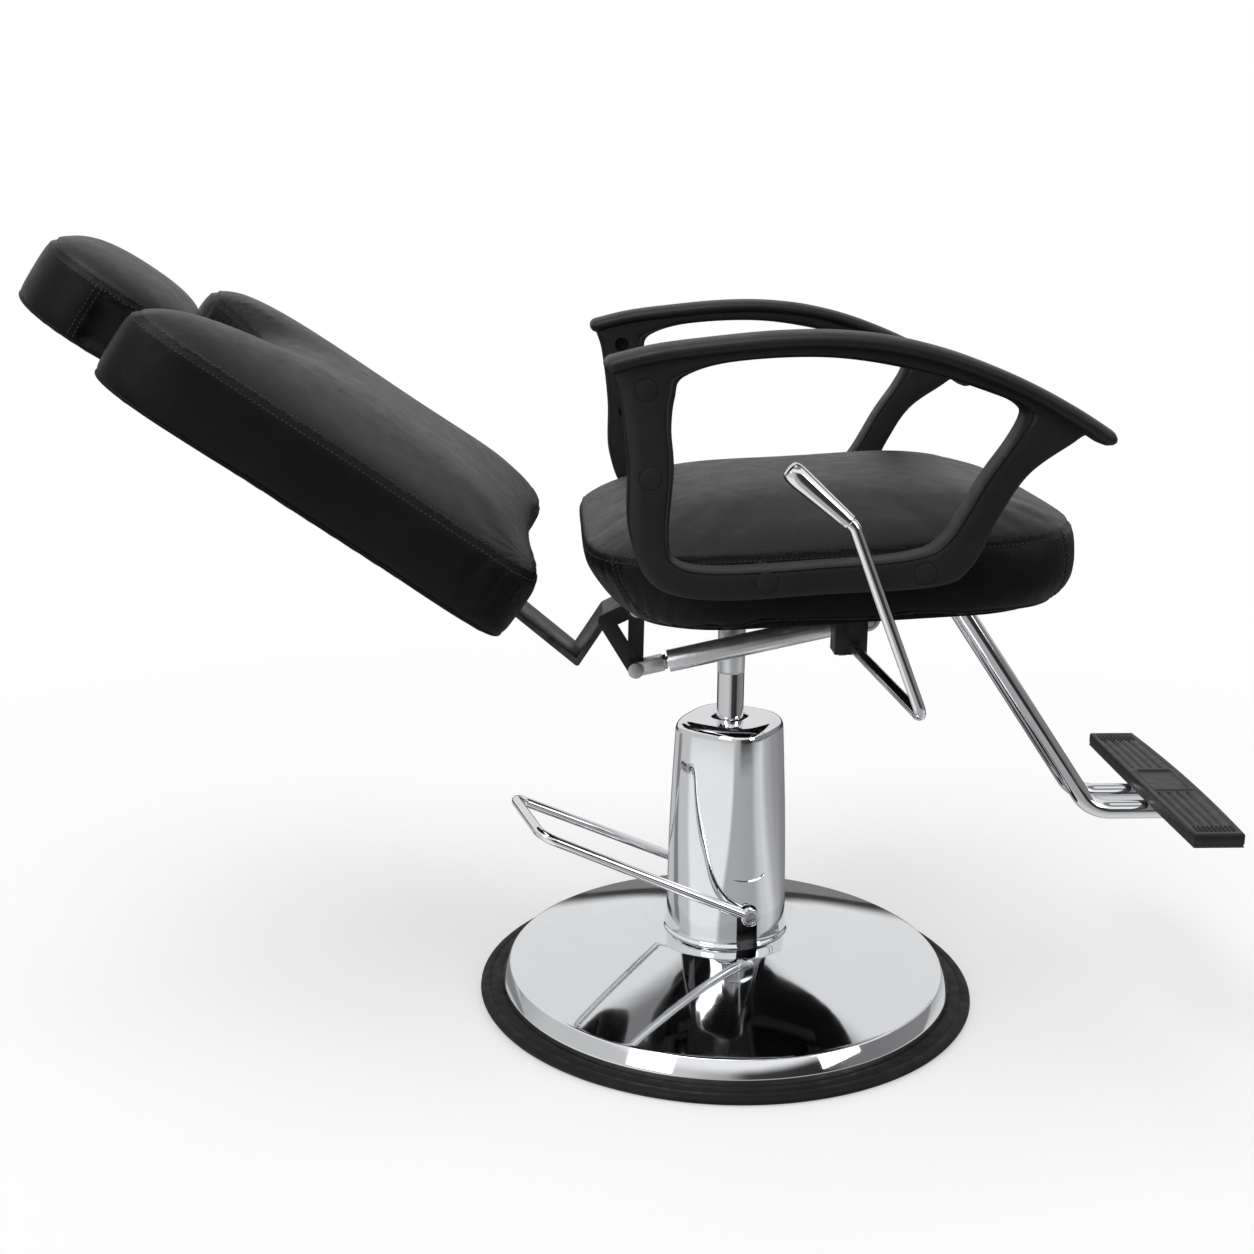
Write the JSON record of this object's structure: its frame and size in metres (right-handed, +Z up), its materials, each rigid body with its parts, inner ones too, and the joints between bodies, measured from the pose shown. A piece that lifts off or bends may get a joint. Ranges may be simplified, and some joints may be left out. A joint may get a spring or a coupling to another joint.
{
  "type": "barber chair",
  "caption": "Hydraulic barber chair with a round chrome base, foot pedal, reclining back, headrest, fixed arms, footrest and recline lever.",
  "frame": {"origin": "on the floor, on the axis of the lift, at the underside of the base", "axes": "+X to the sitter's front, +Y to the sitter's left, +Z up"},
  "size_m": [1.3488, 0.672, 0.9017],
  "materials": {
    "rubber_black": "matte black moulded rubber",
    "chrome_plate": "polished chrome plating",
    "zinc_steel": "zinc-plated steel",
    "tube_silver": "satin silver tube",
    "black_steel": "semi-gloss black powder coat",
    "pump_iron": "grey painted casting",
    "nylon_white": "natural nylon",
    "plywood": "bare plywood",
    "board_black": "plywood covered in black fabric",
    "black_leather": "black upholstery leather, light sheen",
    "arm_plastic": "black moulded plastic, fine matte texture",
    "plug_plastic": "black plastic plugs and caps"
  },
  "bodies": {
    "base": {"floor_ring": "rubber_black", "bottom_plate": "black_steel", "base_dish": "chrome_plate", "pump_body": "pump_iron", "pump_bolts": "zinc_steel", "pump_cylinder": "zinc_steel", "gland_nut": "zinc_steel", "rod_wiper": "rubber_black", "plunger_barrel": "zinc_steel", "pump_cover": "chrome_plate"},
    "pedal": {"pedal_loop": "chrome_plate", "pedal_stubs": "zinc_steel", "cam_finger": "zinc_steel"},
    "plunger": {"pump_plunger": "zinc_steel"},
    "ram": {"lift_rod": "chrome_plate", "lift_piston": "zinc_steel", "thrust_washer": "nylon_white"},
    "seat": {"seat_socket": "tube_silver", "mount_plate": "black_steel", "mount_bolts": "zinc_steel", "seat_rails": "black_steel", "seat_box": "board_black", "seat_cushion": "black_leather", "arm_right": "arm_plastic", "arm_left": "arm_plastic", "arm_bolts": "zinc_steel", "arm_plugs": "plug_plastic", "hinge_bracket": "black_steel", "hinge_pin": "zinc_steel", "footrest_clamp": "black_steel", "footrest_tubes": "chrome_plate", "tube_plugs": "plug_plastic", "foot_plate": "zinc_steel", "foot_rubber": "rubber_black", "foot_screws": "zinc_steel", "lever_block": "black_steel", "cylinder_anchor": "black_steel", "anchor_pin": "zinc_steel", "seat_screws": "zinc_steel"},
    "back": {"back_strap": "black_steel", "back_lever": "black_steel", "strap_screws": "zinc_steel", "back_board": "board_black", "back_cushion": "black_leather", "headrest_guide": "black_steel"},
    "recline_rod": {"cylinder_clevis": "tube_silver", "clevis_bolt": "zinc_steel", "clevis_nut": "zinc_steel", "cylinder_rod": "chrome_plate"},
    "recline_tube": {"cylinder_tube": "tube_silver"},
    "lever": {"lever_rod": "chrome_plate", "lever_grip": "chrome_plate", "lever_tab": "zinc_steel"},
    "headrest": {"headrest_bar": "black_steel", "headrest_block": "plywood", "head_screws": "zinc_steel", "headrest_cushion": "black_leather"}
  },
  "joints": [
    {"name": "pedal_press", "type": "hinge", "parent": "base", "child": "pedal", "pos_m": [0, 0, 0.12], "axis": [0.2588, -0.9659, 0], "range_deg": [0, 22], "stiffness_Nm_per_rad": 8, "springref_deg": -28.65},
    {"name": "plunger_stroke", "type": "slide", "parent": "base", "child": "plunger", "axis": [0, 0, -1], "range_m": [0, 0.0092]},
    {"name": "pump_lift", "type": "slide", "parent": "base", "child": "ram", "axis": [0, 0, 1], "range_m": [-0.05, 0.1]},
    {"name": "seat_swivel", "type": "hinge", "parent": "ram", "child": "seat", "pos_m": [0, 0, 0.402], "axis": [0, 0, 1], "continuous": true},
    {"name": "back_recline", "type": "hinge", "parent": "seat", "child": "back", "pos_m": [-0.115, 0, 0.49], "axis": [0, 1, 0], "range_deg": [0, 42]},
    {"name": "cylinder_pivot", "type": "hinge", "parent": "back", "child": "recline_rod", "pos_m": [-0.116, -0.046, 0.417], "axis": [0, -1, 0], "range_deg": [0, 36.7]},
    {"name": "cylinder_stroke", "type": "slide", "parent": "recline_rod", "child": "recline_tube", "axis": [0.9763, 0, 0.2165], "range_m": [0, 0.0469]},
    {"name": "lever_pull", "type": "hinge", "parent": "seat", "child": "lever", "pos_m": [0.11731, -0.08036, 0.46235], "axis": [0.1422, -0.987, -0.075], "range_deg": [0, 14], "stiffness_Nm_per_rad": 6, "springref_deg": -28.65},
    {"name": "headrest_slide", "type": "slide", "parent": "back", "child": "headrest", "axis": [-0.829, 0, 0.5592], "range_m": [0, 0.06]}
  ],
  "couplings": [
    {"joint": "plunger_stroke", "follows": "pedal_press", "m_per_rad": 0.0237},
    {"joint": "cylinder_pivot", "follows": "back_recline", "ratio": 0.873},
    {"joint": "cylinder_stroke", "follows": "back_recline", "m_per_rad": 0.06388}
  ]
}
